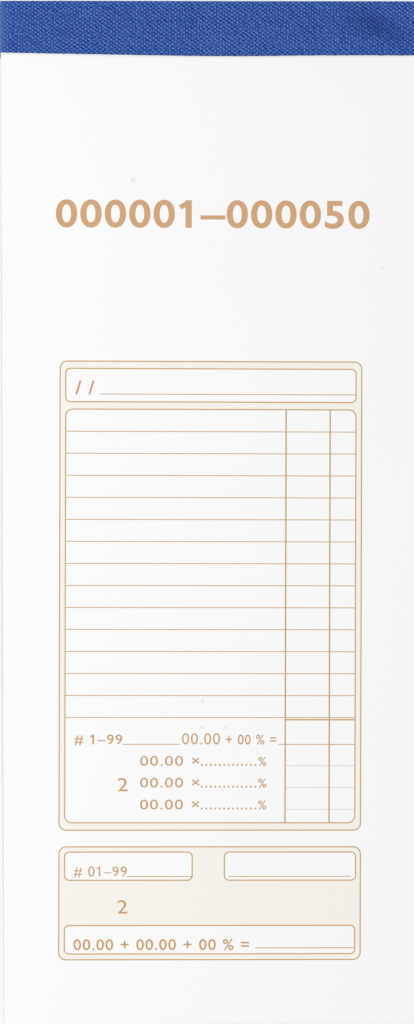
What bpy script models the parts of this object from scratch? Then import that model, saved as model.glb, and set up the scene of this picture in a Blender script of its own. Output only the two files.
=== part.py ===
"""A guest check pad: perforated checks under a fold-back cover, stapled and taped to a backing board.

The pad lies on its back. X runs across it, +Y points at the taped end, +Z points out of the front cover.
The origin is under the middle of the pad, on the surface that it rests on.
"""

import math

import bpy

# Driving dimensions of the pad, in metres
PAD_WIDTH = 0.085
PAD_LENGTH = 0.210
CHECK_COUNT = 50
SPLIT_CHECK_COUNT = 3

# Sheet goods
CHECK_THICKNESS = 0.00009
COVER_THICKNESS = 0.00025
BOARD_THICKNESS = 0.0010
TAPE_THICKNESS = 0.0003

# How far the tape reaches over the front cover and over the back of the board
TAPE_FRONT_REACH = 0.0113
TAPE_BACK_REACH = 0.0113
BOARD_PRESS_DEPTH = 0.0001
TAPE_SEAT_MARGIN = 0.0003

# Perforations: the first lies below the tape, the second sets the coupon's length
PERFORATION_DROP = 0.0030
COUPON_LENGTH = 0.0380
PERFORATION_GAP = 0.0002

# Staples through the whole stack
STAPLE_SPACING = 0.042
STAPLE_CROWN = 0.0120
STAPLE_CLINCH = 0.0045
STAPLE_WIRE = 0.0005
STAPLE_BEND_RADIUS = 0.0005
STAPLE_EDGE_DISTANCE = 0.0055

# Clearances
SHEET_GAP = 0.00001
COVER_GAP = 0.00003
TAPE_GAP = 0.00002
FOLD_GAP = 0.0003
STAPLE_CLEARANCE = 0.00015

# Facets of the rounded shapes
TAPE_CORNER_STEPS = 5
STAPLE_BEND_STEPS = 4
STAPLE_BEVEL_RESOLUTION = 1

# Levels of the stack, from the resting surface up
BOARD_SEAT_Z = TAPE_THICKNESS + TAPE_GAP
BOARD_LOW_Z = BOARD_SEAT_Z - BOARD_PRESS_DEPTH
BOARD_HIGH_Z = BOARD_LOW_Z + BOARD_THICKNESS
CHECK_PITCH = CHECK_THICKNESS + SHEET_GAP
STACK_LOW_Z = BOARD_HIGH_Z + SHEET_GAP
STACK_HIGH_Z = STACK_LOW_Z + CHECK_COUNT * CHECK_PITCH - SHEET_GAP
COVER_LOW_Z = STACK_HIGH_Z + COVER_GAP
COVER_HIGH_Z = COVER_LOW_Z + COVER_THICKNESS
TAPE_INNER_Z = COVER_HIGH_Z + TAPE_GAP
PAD_HIGH_Z = TAPE_INNER_Z + TAPE_THICKNESS

# Lines across the pad, from the free end to the spine
FREE_END_Y = -PAD_LENGTH / 2
SPINE_Y = PAD_LENGTH / 2
TAPE_INNER_Y = SPINE_Y - TAPE_THICKNESS
SHEET_TOP_Y = TAPE_INNER_Y - TAPE_GAP
FOLD_Y = SPINE_Y - TAPE_FRONT_REACH
TAPE_BACK_Y = SPINE_Y - TAPE_BACK_REACH
PERFORATION_Y = FOLD_Y - PERFORATION_DROP
COUPON_Y = FREE_END_Y + COUPON_LENGTH
STAPLE_Y = SHEET_TOP_Y - STAPLE_EDGE_DISTANCE

# Staple levels: the crown is flush with the cover, the clinched ends with the pressed seat of the board
CROWN_Z = COVER_HIGH_Z - STAPLE_WIRE / 2
CLINCH_Z = BOARD_SEAT_Z + STAPLE_WIRE / 2
LEG_X = (STAPLE_CROWN - STAPLE_WIRE) / 2
CUT_HALF_WIDTH = STAPLE_WIRE / 2 + STAPLE_CLEARANCE
CUT_SPAN_Y = (STAPLE_Y - CUT_HALF_WIDTH, STAPLE_Y + CUT_HALF_WIDTH)
STAPLE_SIDES = {"left": -1, "right": 1}


def clear_scene():
    for old in list(bpy.data.objects):
        bpy.data.objects.remove(old, do_unlink=True)


def new_collection(name):
    collection = bpy.data.collections.new(name)
    bpy.context.scene.collection.children.link(collection)
    return collection


def new_finish(name, colour, roughness, metallic=0.0):
    """A plain material of one colour."""
    material = bpy.data.materials.new(name)
    material.use_nodes = True
    shader = material.node_tree.nodes["Principled BSDF"]
    shader.inputs["Base Color"].default_value = (*colour, 1.0)
    shader.inputs["Roughness"].default_value = roughness
    shader.inputs["Metallic"].default_value = metallic
    return material


def new_axis(name, place):
    """An empty that marks a joint's axis."""
    axis = bpy.data.objects.new(name, None)
    axis.empty_display_size = PAD_WIDTH / 4
    axis.location = place
    parts.objects.link(axis)
    return axis


def put_in_place(obj, material, place, parent=None):
    """Adds a part to the pad with its origin at a place, carried by its parent if it has one."""
    obj.data.materials.append(material)
    parts.objects.link(obj)
    obj.location = place
    if parent:
        obj.parent = parent
        for axis in range(3):
            obj.location[axis] -= parent.location[axis]
    return obj


def rectangle(low_x, high_x, low_y, high_y):
    return [(low_x, low_y), (high_x, low_y), (high_x, high_y), (low_x, high_y)]


def flat_outline(name, outlines, thickness):
    """A flat piece: the first outline is its edge, and the others are holes in it."""
    curve = bpy.data.curves.new(name, "CURVE")
    curve.dimensions = "2D"
    curve.fill_mode = "BOTH"
    curve.extrude = thickness / 2
    for outline in outlines:
        spline = curve.splines.new("POLY")
        spline.points.add(len(outline) - 1)
        spline.use_cyclic_u = True
        for point, (x, y) in zip(spline.points, outline):
            point.co = (x, y, 0.0, 1.0)
    return bpy.data.objects.new(name, curve)


def leg_holes():
    """Holes across the pad where the staples' legs pierce it."""
    middles = [side * STAPLE_SPACING / 2 for side in STAPLE_SIDES.values()]
    legs = [middle + leg for middle in middles for leg in (-LEG_X, LEG_X)]
    return [(leg - CUT_HALF_WIDTH, leg + CUT_HALF_WIDTH, *CUT_SPAN_Y) for leg in legs]


def wire_slots():
    """Slots as long as a staple, which its crown or its clinched ends lie in."""
    middles = [side * STAPLE_SPACING / 2 for side in STAPLE_SIDES.values()]
    reach = LEG_X + CUT_HALF_WIDTH
    return [(middle - reach, middle + reach, *CUT_SPAN_Y) for middle in middles]


def staple_cuts(low_z, high_z):
    """What the staples need cut out of a sheet between two levels."""
    meets_crown = high_z > CROWN_Z - CUT_HALF_WIDTH
    meets_clinch = low_z < CLINCH_Z + CUT_HALF_WIDTH
    return wire_slots() if meets_crown or meets_clinch else leg_holes()


def sheet(name, span_y, low_z, thickness, material, parent=None):
    """A sheet across the pad's width between two lines, pierced where the staples pass through it."""
    low_y, high_y = span_y
    middle_y = (low_y + high_y) / 2
    outlines = [rectangle(-PAD_WIDTH / 2, PAD_WIDTH / 2, low_y, high_y)]
    if low_y < STAPLE_Y < high_y:
        outlines += [rectangle(*cut) for cut in staple_cuts(low_z, low_z + thickness)]
    local = [[(x, y - middle_y) for x, y in outline] for outline in outlines]
    place = (0.0, middle_y, low_z + thickness / 2)
    return put_in_place(flat_outline(name, local, thickness), material, place, parent)


def make_cutter(name, low, high):
    """A hidden box between two corners, for cutting the board."""
    bpy.ops.mesh.primitive_cube_add(size=1.0)
    cutter = bpy.context.object
    cutter.name = name
    cutter.location = [(a + b) / 2 for a, b in zip(low, high)]
    cutter.scale = [b - a for a, b in zip(low, high)]
    for owner in list(cutter.users_collection):
        owner.objects.unlink(cutter)
    cutters.objects.link(cutter)
    cutter.hide_render = True
    cutter.display_type = "WIRE"
    return cutter


def make_board(material):
    """The chipboard, pressed in under the tape, with leg holes and grooves for the clinched staple ends."""
    bpy.ops.mesh.primitive_cube_add(size=1.0)
    board = bpy.context.object
    board.name = "backing_board"
    for owner in list(board.users_collection):
        owner.objects.unlink(board)
    put_in_place(board, material, (0.0, (FREE_END_Y + SHEET_TOP_Y) / 2, (BOARD_LOW_Z + BOARD_HIGH_Z) / 2))
    board.scale = (PAD_WIDTH, SHEET_TOP_Y - FREE_END_Y, BOARD_THICKNESS)

    beyond = BOARD_THICKNESS
    cuts = {
        "tape_seat": (
            (-PAD_WIDTH / 2 - beyond, TAPE_BACK_Y - TAPE_SEAT_MARGIN, BOARD_LOW_Z - beyond),
            (PAD_WIDTH / 2 + beyond, SHEET_TOP_Y + beyond, BOARD_SEAT_Z),
        )
    }
    depths = [("leg_hole", leg_holes(), BOARD_HIGH_Z + beyond)]
    depths.append(("clinch_groove", wire_slots(), CLINCH_Z + CUT_HALF_WIDTH))
    for kind, outlines, deepest_z in depths:
        for number, (low_x, high_x, low_y, high_y) in enumerate(outlines, 1):
            low = (low_x, low_y, BOARD_LOW_Z - beyond)
            cuts[f"{kind}_{number}"] = (low, (high_x, high_y, deepest_z))
    for name, (low, high) in cuts.items():
        cut = board.modifiers.new(name, "BOOLEAN")
        cut.operation = "DIFFERENCE"
        cut.solver = "EXACT"
        cut.object = make_cutter(name, low, high)
    return board


def make_tape(material):
    """The cloth tape: one profile round the bound edge, as wide as the pad."""
    outline = [(FOLD_Y, PAD_HIGH_Z)]
    for corner_z, first_turn in ((TAPE_INNER_Z, 1), (BOARD_SEAT_Z - TAPE_GAP, 0)):
        for step in range(TAPE_CORNER_STEPS + 1):
            angle = math.pi / 2 * (first_turn - step / TAPE_CORNER_STEPS)
            outline.append(
                (
                    TAPE_INNER_Y + TAPE_THICKNESS * math.cos(angle),
                    corner_z + TAPE_THICKNESS * math.sin(angle),
                )
            )
    outline += [
        (TAPE_BACK_Y, 0.0),
        (TAPE_BACK_Y, TAPE_THICKNESS),
        (TAPE_INNER_Y, TAPE_THICKNESS),
        (TAPE_INNER_Y, TAPE_INNER_Z),
        (FOLD_Y, TAPE_INNER_Z),
    ]
    tape = flat_outline("binding_tape", [outline], PAD_WIDTH)
    tape.rotation_euler = (math.pi / 2, 0.0, math.pi / 2)
    return put_in_place(tape, material, (0.0, 0.0, 0.0))


def staple_route():
    """The wire's middle line in its own plane, from one clinched tip round to the other."""
    tip_x = LEG_X - STAPLE_CLINCH
    bends = [(LEG_X, CLINCH_Z, -90), (LEG_X, CROWN_Z, 0), (-LEG_X, CROWN_Z, 90), (-LEG_X, CLINCH_Z, 180)]
    route = [(tip_x, CLINCH_Z)]
    for corner_x, corner_z, start_angle in bends:
        centre_x = corner_x - math.copysign(STAPLE_BEND_RADIUS, corner_x)
        inward = 1 if corner_z == CLINCH_Z else -1
        centre_z = corner_z + inward * STAPLE_BEND_RADIUS
        for step in range(STAPLE_BEND_STEPS + 1):
            angle = math.radians(start_angle + 90 * step / STAPLE_BEND_STEPS)
            route.append(
                (
                    centre_x + STAPLE_BEND_RADIUS * math.cos(angle),
                    centre_z + STAPLE_BEND_RADIUS * math.sin(angle),
                )
            )
    route.append((-tip_x, CLINCH_Z))
    return route


def make_staple(name, middle_x, material):
    """One staple: crown, two legs and two clinched ends, bent from one wire."""
    curve = bpy.data.curves.new(name, "CURVE")
    curve.dimensions = "3D"
    curve.bevel_depth = STAPLE_WIRE / 2
    curve.bevel_resolution = STAPLE_BEVEL_RESOLUTION
    curve.use_fill_caps = True
    route = staple_route()
    spline = curve.splines.new("POLY")
    spline.points.add(len(route) - 1)
    for point, (x, z) in zip(spline.points, route):
        point.co = (x, 0.0, z, 1.0)
    return put_in_place(bpy.data.objects.new(name, curve), material, (middle_x, STAPLE_Y, 0.0))


def make_cover(material):
    """One sheet of card: the strip under the tape stays bound, the rest folds up along the tape's edge."""
    sheet("cover_bound_strip", (FOLD_Y, SHEET_TOP_Y), COVER_LOW_Z, COVER_THICKNESS, material)
    fold = new_axis("cover_fold_axis", (0.0, FOLD_Y, PAD_HIGH_Z))
    span_y = (FREE_END_Y, FOLD_Y - FOLD_GAP)
    sheet("front_cover", span_y, COVER_LOW_Z, COVER_THICKNESS, material, parent=fold)


def make_split_check(name, low_z, with_coupon, material):
    """A check parted at its perforation: the stub stays bound, the check and its coupon come away."""
    half_gap = PERFORATION_GAP / 2
    middle_z = low_z + CHECK_THICKNESS / 2
    stub_span = (PERFORATION_Y + half_gap, SHEET_TOP_Y)
    sheet(f"{name}_stub", stub_span, low_z, CHECK_THICKNESS, material)
    tear_line = new_axis(f"{name}_tear_axis", (0.0, PERFORATION_Y, middle_z))
    check_end_y = COUPON_Y + half_gap if with_coupon else FREE_END_Y
    check_span = (check_end_y, PERFORATION_Y - half_gap)
    sheet(name, check_span, low_z, CHECK_THICKNESS, material, parent=tear_line)
    if with_coupon:
        coupon_line = new_axis(f"{name}_coupon_tear_axis", (0.0, COUPON_Y, middle_z))
        coupon_span = (FREE_END_Y, COUPON_Y - half_gap)
        sheet(f"{name}_coupon", coupon_span, low_z, CHECK_THICKNESS, material, parent=coupon_line)


def make_checks(material):
    """The stack of checks, numbered from the front. The first few are parted at their perforations."""
    for number in range(1, CHECK_COUNT + 1):
        name = f"check_{number:02d}"
        low_z = STACK_LOW_Z + (CHECK_COUNT - number) * CHECK_PITCH
        if number <= SPLIT_CHECK_COUNT:
            make_split_check(name, low_z, number == 1, material)
        else:
            sheet(name, (FREE_END_Y, SHEET_TOP_Y), low_z, CHECK_THICKNESS, material)


clear_scene()
parts = new_collection("guest_check_pad")
cutters = new_collection("cutters")
make_board(new_finish("grey_chipboard", (0.36, 0.34, 0.31), 0.9))
make_checks(new_finish("white_check_paper", (0.93, 0.93, 0.92), 0.85))
make_cover(new_finish("white_cover_card", (0.94, 0.94, 0.94), 0.7))
make_tape(new_finish("blue_binding_cloth", (0.045, 0.098, 0.342), 0.8))
wire = new_finish("staple_wire", (0.55, 0.55, 0.56), 0.35, 1.0)
for side_name, side in STAPLE_SIDES.items():
    make_staple(f"staple_{side_name}", side * STAPLE_SPACING / 2, wire)
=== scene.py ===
"""The looks of a guest check pad: cloth binding, printed cover, numbered checks and backing board."""
import math
import random
from collections import namedtuple

import bmesh
import bpy
from mathutils import Matrix, Vector


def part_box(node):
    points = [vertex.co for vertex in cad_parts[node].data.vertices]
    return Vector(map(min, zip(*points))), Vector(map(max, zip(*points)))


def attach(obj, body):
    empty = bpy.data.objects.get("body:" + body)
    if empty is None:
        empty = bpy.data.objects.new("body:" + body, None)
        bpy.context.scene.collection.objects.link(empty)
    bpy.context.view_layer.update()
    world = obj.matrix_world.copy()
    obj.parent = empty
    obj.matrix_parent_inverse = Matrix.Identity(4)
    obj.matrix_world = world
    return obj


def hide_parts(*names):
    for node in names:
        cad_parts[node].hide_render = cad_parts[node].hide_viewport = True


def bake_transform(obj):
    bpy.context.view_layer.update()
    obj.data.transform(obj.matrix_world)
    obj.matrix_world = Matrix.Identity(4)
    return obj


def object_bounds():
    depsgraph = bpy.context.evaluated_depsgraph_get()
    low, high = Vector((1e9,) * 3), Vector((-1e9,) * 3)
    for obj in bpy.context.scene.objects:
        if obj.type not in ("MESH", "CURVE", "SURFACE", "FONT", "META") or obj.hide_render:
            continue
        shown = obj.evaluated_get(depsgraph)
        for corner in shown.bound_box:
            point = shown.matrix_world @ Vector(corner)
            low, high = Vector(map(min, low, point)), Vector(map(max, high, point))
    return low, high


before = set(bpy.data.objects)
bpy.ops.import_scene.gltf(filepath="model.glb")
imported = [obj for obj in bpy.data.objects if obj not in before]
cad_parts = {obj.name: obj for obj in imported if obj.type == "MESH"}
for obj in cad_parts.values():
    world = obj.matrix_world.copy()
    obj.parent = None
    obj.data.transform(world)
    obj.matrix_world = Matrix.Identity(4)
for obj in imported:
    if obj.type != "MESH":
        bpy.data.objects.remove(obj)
cad_low, cad_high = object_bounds()

MM = 0.001

# Places that the frame gives
tape_low, tape_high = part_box("binding_tape")
cover_low, cover_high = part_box("front_cover")
strip_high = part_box("cover_bound_strip")[1]
HALF_WIDTH = tape_high.x
FREE_END = cover_low.y
FOLD_LINE = tape_low.y
SHEET_TOP = strip_high.y

# Shape of the binding cloth
TAPE_CLEARANCE = 0.02 * MM
TAPE_THICKNESS = tape_high.z - strip_high.z - TAPE_CLEARANCE
TAPE_CORNER = 0.33 * MM
YARN_ACROSS = 0.575 * MM
YARN_ALONG = 0.411 * MM
POINTS_ACROSS_YARN = 3
POINTS_ALONG_YARN = 2
END_ROW = 0.25 / POINTS_ALONG_YARN
WEAVE_RELIEF = 0.07 * MM
YARN_ROUNDNESS = 0.7
UNDER_YARN_SHARE = 0.55
YARN_WANDER = 0.07 * MM
LONG_WANDER = (9.1 * MM, 7.3 * MM)
SHORT_WANDER = (3.7 * MM, 5.2 * MM)
WANDER_SHIFT = 1.3
TAPE_LONGEST = 4 * MM
TAPE_EDGE_ROUND = 6 * MM
LEFT_SLANT = 0.0168
RIGHT_SLANT = 0.0125
RIGHT_SETBACK = 0.18 * MM
THREAD_END = 0.11 * MM
SHORTEST_THREAD = 0.2
THREAD_SEED = 7
TAPE_OVERHANG = 0.2 * MM
STEADY_END = 4 * MM

# Look of the binding cloth: what each part adds to its tone, with painted highlights on the yarn
# crossings and painted shade in the gaps, then flecks, fuzz, the painted shade along the front edge, the
# paler left end and the dark patch
PAINTED_HIGHLIGHT_SHARE, PAINTED_SLANT_SHARE, PAINTED_GAP_SHADE_SHARE = 0.365, -0.07, -0.1
KNOT_SHARE, FLECK_SHARE = 0.5, 0.52
YARN_SHARE, FUZZ_SHARE, CLOUD_SHARE = 0.05, 0.2, 0.14
FLECK_SCALE = (2.6, 1.9, 1.0)
FLECK_SHIFT = (1.0, 0.7)
WEFT_START = 400.0
FUZZ_DEPTH = 0.03 * MM
# Painted shade along the cut front edge of the cloth: where it starts and ends, counted in yarns, and its
# share
FRONT_SHADE_STARTS, FRONT_SHADE_ENDS, FRONT_SHADE_FADE = 0.9, 0.1, 0.4
PALER_END_REACH = 1.8 * MM
PALER_END_SHARE = 0.4
DARK_PATCH_X, DARK_PATCH_Y = 34.3 * MM, 100.2 * MM
DARK_PATCH_LENGTH, DARK_PATCH_WIDTH = 10 * MM, 3.6 * MM
DARK_PATCH_TURN = math.radians(-27)
DARK_PATCH_DEPTH = 1.1

# Cover and checks
COVER_LIFT = 0.1 * MM
COVER_LIFT_RUN = 11 * MM
FLAT_STEPS = 8
LIFT_STEPS = 10
FOLD_RUN = 1.4 * MM
FOLD_STEPS = 14
EDGE_EASE = 0.04 * MM
EASE_STEPS = 2
SHARP_TURN = 1.0
COVER_PRINT = 0.02 * MM
CHECK_PRINT = 0.012 * MM
TINT_SHARE = 0.6
RULE_SHARE = 0.88
COLUMN_SHARE = 0.94
PERFORATION_COLUMNS = 169
TIE_EVERY = 3
TORN_GAP = 0.005 * MM
LEAF_DRIFT = 0.06 * MM
DRIFT_SEED = 11
LEAF_BOW = 0.2 * MM
BOW_STEPS = 12
BOW_LEAN = 1.3
SPLIT_CHECKS = 3
CHECK_COUNT = 50

# Cut edges of paper, darkened by painted shade for the shadow in the gaps between sheets
RIM = 0.02 * MM
FLAT_FACING = 0.4
PAINTED_LEDGE_SHADE = 0.85
EDGE_SWING = 0.3
EDGE_LAYERS = (60.0, 60.0, 9000.0)

# Backing board
BOARD_EASE = 0.12 * MM
BOARD_MERGE = 0.001 * MM
BOARD_FLATNESS = 0.01
ON_RIM = 0.001 * MM
BOARD_FIBRES = (900.0, 160.0, 900.0)
PULP_SHARE, FIBRE_SHARE = 0.9, 0.6
PULP_DEPTH = 0.05 * MM

# Printed form, in millimetres from the middle of the pad, with y towards the binding
FORM_OFFSET = (-0.56, 0.07)
FORM_SKEW = math.radians(-0.32)
FRAME_LEFT, FRAME_RIGHT = -30.23, 31.79
BOX_LEFT, BOX_RIGHT = -29.08, 30.62
MONEY_COLUMN, CENTS_COLUMN = 16.23, 25.30
FRAME_TOP, FRAME_BOTTOM = 30.89, -65.38
DATE_TOP, DATE_RULE, DATE_BOTTOM = 29.40, 24.15, 22.57
DATE_RULE_LEFT = -22.0
TABLE_TOP, TABLE_BOTTOM = 21.06, -63.87
FIRST_ROW, ROW_PITCH, ROW_COUNT = 16.50, 4.518, 14
SUM_TOP, SUM_RULE = -42.67, -47.74
TABLE_RULE_LEFT, TABLE_RULE_RIGHT = -17.2, -5.5
SUM_RULE_LEFT = 14.8
RATE_RULES = (-52.13, -56.61, -61.10)
LEADER_LEFT, LEADER_RIGHT = -0.9, 10.1
LEADER_DOTS, DOT_SIZE = 13, 0.35
COUPON_TOP, COUPON_BOTTOM = -68.81, -92.0
FIELD_TOP, FIELD_RULE, FIELD_BOTTOM = -69.87, -74.9, -75.67
FIELD_SPLIT_LEFT, FIELD_SPLIT_RIGHT, FIELD_RIGHT = -2.85, 3.78, 30.81
FIELD_RULE_LEFT = -16.4
EMPTY_RULE_LEFT, EMPTY_RULE_RIGHT = 4.6, 29.8
SUM_FIELD_TOP, SUM_FIELD_RULE, SUM_FIELD_BOTTOM = -84.97, -89.59, -90.81
SUM_FIELD_RULE_LEFT, SUM_FIELD_RIGHT = 10.2, 30.67
SUM_SIGNS_DROP = 0.4
TITLE_BASE, CHECK_NUMBER_BASE, COUPON_NUMBER_BASE = 58.5, -57.4, -82.5
OUTER_RADIUS, BOX_RADIUS, TABLE_RADIUS = 1.45, 0.95, 1.45
CORNER_STEPS = 6
ROW_LINE, COLUMN_LINE, FRAME_LINE, FAINT_LINE = 0.156, 0.265, 0.222, 0.095

# Printed numbers and signs: what they say, their ends, how tall the digits are and how much bolder
Signs = namedtuple("Signs", "text left right tall weight")
TITLE_SIGNS = Signs("000001–000050", -31.2, 33.3, 5.4, 0.16)
DATE_SIGNS = Signs("/ /", -27.1, -23.2, 2.7, 0.05)
TABLE_SIGNS = Signs("# 1–99", -27.15, -17.3, 2.0, 0.01)
SUM_SIGNS = Signs("00.00", -5.0, 2.8, 2.3, -0.015)
SUM_RATE_SIGNS = Signs("+ 00 % =", 4.0, 14.4, 2.0, 0.01)
RATE_SIGNS = Signs("00.00 ×", -13.6, -1.4, 2.0, 0.0)
PERCENT_SIGN = Signs("%", 10.7, 12.35, 1.8, 0.01)
COUPON_TABLE_SIGNS = Signs("# 01–99", -27.2, -16.3, 2.1, -0.01)
COUPON_SUM_SIGNS = Signs("00.00 + 00.00 + 00 % =", -27.2, 8.9, 2.2, 0.02)
NUMBER_LEFT, NUMBER_TALL, NUMBER_WEIGHT = -18.2, 2.75, -0.01
NUMBER_SPREAD = 1.2
DIGIT_SHARE = 0.69
SIGN_SPACING = 1.1
SIGN_CURVE_STEPS = 5
SIGN_MERGE = 1e-5
FLAG_LENGTH, FLAG_THICKNESS, FLAG_SHARE = 0.34, 0.9, 0.9
FLAG_TURN = math.radians(36)
COVER_NUMBER = 2

# Grey specks in the pulp of the cover: x and y on the pad, reach in millimetres, and depth
COVER_SPECKS = (
    (-15.5, 68.2, 0.9, 0.18),
    (-1.6, -38.8, 0.55, 0.25),
    (-1.8, -44.2, 0.45, 0.25),
    (3.1, -44.3, 0.4, 0.24),
    (35.8, 50.0, 0.6, 0.1),
)
SPECK_RAGGED = 0.7 * MM

# Stray specks in all the paper: how close their cells lie, their size and how many cells have one
STRAY_CELLS, STRAY_SIZE, STRAY_CHANCE = 95.0, 0.013, 0.3


# Helpers for shapes
def new_object(name, data):
    """A new object in the scene."""
    made = bpy.data.objects.new(name, data)
    bpy.context.scene.collection.objects.link(made)
    return made


def place_piece(name, shape, *materials):
    """Turns a finished bmesh into a piece at the origin, with its place in its mesh."""
    mesh = bpy.data.meshes.new(name)
    shape.to_mesh(mesh)
    shape.free()
    for material in materials:
        mesh.materials.append(material)
    return new_object(name, mesh)


def points(made):
    """The points among all that an operator made."""
    return [v for v in made["geom"] if isinstance(v, bmesh.types.BMVert)]


def raise_faces(shape, height):
    """Makes slabs of a shape's flat faces, and returns the points of their tops."""
    verts = points(bmesh.ops.extrude_face_region(shape, geom=shape.faces[:], use_keep_orig=True))
    bmesh.ops.translate(shape, verts=verts, vec=(0, 0, height))
    return verts


def thicken(shape, thickness):
    """Raises a flat sheet of faces into a closed slab."""
    raise_faces(shape, thickness)
    bmesh.ops.recalc_face_normals(shape, faces=shape.faces)


def ease(shape, edges, width):
    """Takes the sharpness off some edges."""
    bmesh.ops.bevel(
        shape, geom=edges, offset=width, affect="EDGES", segments=EASE_STEPS, profile=0.5, material=-1
    )


# Helpers for finishes
def paint(red, green, blue):
    """A colour from its usual 0 to 255 values, as the linear values that shaders take."""
    shares = [value / 255 for value in (red, green, blue)]
    linear = [s / 12.92 if s <= 0.04045 else ((s + 0.055) / 1.055) ** 2.4 for s in shares]
    return (*linear, 1.0)


def pick(sockets, name):
    """The socket with that identifier or name."""
    return next(s for s in sockets if name in (s.identifier, s.name))


def add(tree, kind, inputs, **settings):
    """A new shader node with its settings, and its inputs set to values or linked to sockets."""
    made = tree.nodes.new(kind)
    for name, value in settings.items():
        setattr(made, name, value)
    for name, value in inputs.items():
        give(tree, pick(made.inputs, name), value)
    return made


def give(tree, socket, value):
    """Sets an input to a value, or links it to a socket."""
    if isinstance(value, bpy.types.NodeSocket):
        tree.links.new(value, socket)
    else:
        socket.default_value = value


def math_node(tree, operation, first, second=0.0):
    """The result of one sum on two values or sockets."""
    made = tree.nodes.new("ShaderNodeMath")
    made.operation = operation
    give(tree, made.inputs[0], first)
    give(tree, made.inputs[1], second)
    return made.outputs[0]


def mix_colours(tree, share, first, second):
    """A colour between two, by a share from 0 to 1."""
    inputs = {"Factor_Float": share, "A_Color": first, "B_Color": second}
    return pick(add(tree, "ShaderNodeMix", inputs, data_type="RGBA").outputs, "Result_Color")


def tinted(tree, colour, tone):
    """A colour made lighter or darker by a tone that is about 1."""
    made = add(tree, "ShaderNodeVectorMath", {"Scale": tone}, operation="SCALE")
    made.inputs[0].default_value = colour[:3]
    return made.outputs["Vector"]


def colour_ramp(tree, tone, dark, light):
    """A colour between dark and light, by a tone from 0 to 1; returns the ramp's node."""
    ramp = add(tree, "ShaderNodeValToRGB", {"Fac": tone})
    ramp.color_ramp.elements[0].color = dark
    ramp.color_ramp.elements[1].color = light
    return ramp


def noise(tree, place, scale, detail=2.0):
    """Soft random values between 0 and 1."""
    inputs = {"Vector": place, "Scale": scale, "Detail": detail}
    return add(tree, "ShaderNodeTexNoise", inputs).outputs["Fac"]


def random_cells(tree, place, scale):
    """Flat cells with a random colour each; returns their node."""
    inputs = {"Vector": place, "Scale": scale}
    return add(tree, "ShaderNodeTexVoronoi", inputs, voronoi_dimensions="2D")


def along_axis(tree, vector, axis):
    """One of the three values of a vector."""
    return add(tree, "ShaderNodeSeparateXYZ", {"Vector": vector}).outputs[axis]


def mapped(tree, place, scale, location=(0.0, 0.0, 0.0), turn=0.0, kind="POINT"):
    """A place moved, turned and scaled for a pattern."""
    inputs = {"Vector": place, "Location": location, "Rotation": (0.0, 0.0, turn), "Scale": scale}
    return add(tree, "ShaderNodeMapping", inputs, vector_type=kind).outputs["Vector"]


def soft_spot(tree, place, x, y, reach_x, reach_y, turn=0.0):
    """A mask that is 1 in the middle of a spot and falls to 0 at its reach."""
    centred = mapped(tree, place, (reach_x, reach_y, 1.0), (x, y, 0.0), turn, "TEXTURE")
    made = add(tree, "ShaderNodeTexGradient", {"Vector": centred}, gradient_type="SPHERICAL")
    return made.outputs["Fac"]


def fade(tree, value, start, end, least, most, manner="SMOOTHSTEP"):
    """Goes from a least at the start of a value's range to a most at its end."""
    inputs = {"Value": value, "From Min": start, "From Max": end, "To Min": least, "To Max": most}
    return add(tree, "ShaderNodeMapRange", inputs, interpolation_type=manner).outputs["Result"]


def weigh(tree, level_parts, raised_parts):
    """A tone round 0.5 from weighted parts: level ones swing round 0, and raised ones round 0.5."""
    total = 0.5 - sum(weight for _, weight in raised_parts) / 2
    for part, weight in level_parts + raised_parts:
        total = math_node(tree, "ADD", math_node(tree, "MULTIPLY", part, weight), total)
    return total


def start_group(name, inputs, outputs):
    """A shader node group with named sockets; returns its tree, its given values and its results."""
    tree = bpy.data.node_groups.new(name, "ShaderNodeTree")
    for socket, kind in inputs:
        tree.interface.new_socket(socket, in_out="INPUT", socket_type=kind)
    for socket in outputs:
        tree.interface.new_socket(socket, in_out="OUTPUT", socket_type="NodeSocketFloat")
    given = tree.nodes.new("NodeGroupInput").outputs
    results = tree.nodes.new("NodeGroupOutput").inputs
    return tree, given, results


def start_material(name, roughness, specular):
    """A material with a plain shader; returns the material, its tree and the shader's inputs."""
    material = bpy.data.materials.new(name)
    material.use_nodes = True
    tree = material.node_tree
    shader = tree.nodes["Principled BSDF"].inputs
    shader["Roughness"].default_value = roughness
    shader["Specular IOR Level"].default_value = specular
    return material, tree, shader


def object_place(tree):
    """Where a point lies on its piece."""
    return tree.nodes.new("ShaderNodeTexCoord").outputs["Object"]


def add_bump(tree, shader, height, depth):
    """Gives a finish a relief of some depth."""
    bump = add(tree, "ShaderNodeBump", {"Height": height, "Distance": depth})
    tree.links.new(bump.outputs["Normal"], shader["Normal"])


# Effects that several finishes share
def make_paper_tooth():
    """Fibres, soft clouds and stray specks of paper: Tone is about 1, and Height runs from 0 to 1."""
    tree, given, results = start_group(
        "paper_tooth",
        [
            ("Vector", "NodeSocketVector"),
            ("Fibre Scale", "NodeSocketFloat"),
            ("Contrast", "NodeSocketFloat"),
            ("Speck Depth", "NodeSocketFloat"),
        ],
        ["Tone", "Height"],
    )
    fibres = noise(tree, given["Vector"], scale=given["Fibre Scale"], detail=4.0)
    clouds = noise(tree, given["Vector"], scale=42.0)
    cells = random_cells(tree, given["Vector"], scale=STRAY_CELLS)
    near = math_node(tree, "LESS_THAN", cells.outputs["Distance"], STRAY_SIZE)
    chosen = math_node(tree, "LESS_THAN", along_axis(tree, cells.outputs["Color"], "X"), STRAY_CHANCE)
    speck = math_node(tree, "MULTIPLY", near, chosen)
    both = math_node(tree, "ADD", fibres, clouds)
    swing = math_node(tree, "MULTIPLY", math_node(tree, "SUBTRACT", both, 1.0), given["Contrast"])
    drop = math_node(tree, "MULTIPLY", speck, given["Speck Depth"])
    lit = math_node(tree, "ADD", swing, 1.0)
    tree.links.new(math_node(tree, "SUBTRACT", lit, drop), results["Tone"])
    tree.links.new(fibres, results["Height"])
    return tree


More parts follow.
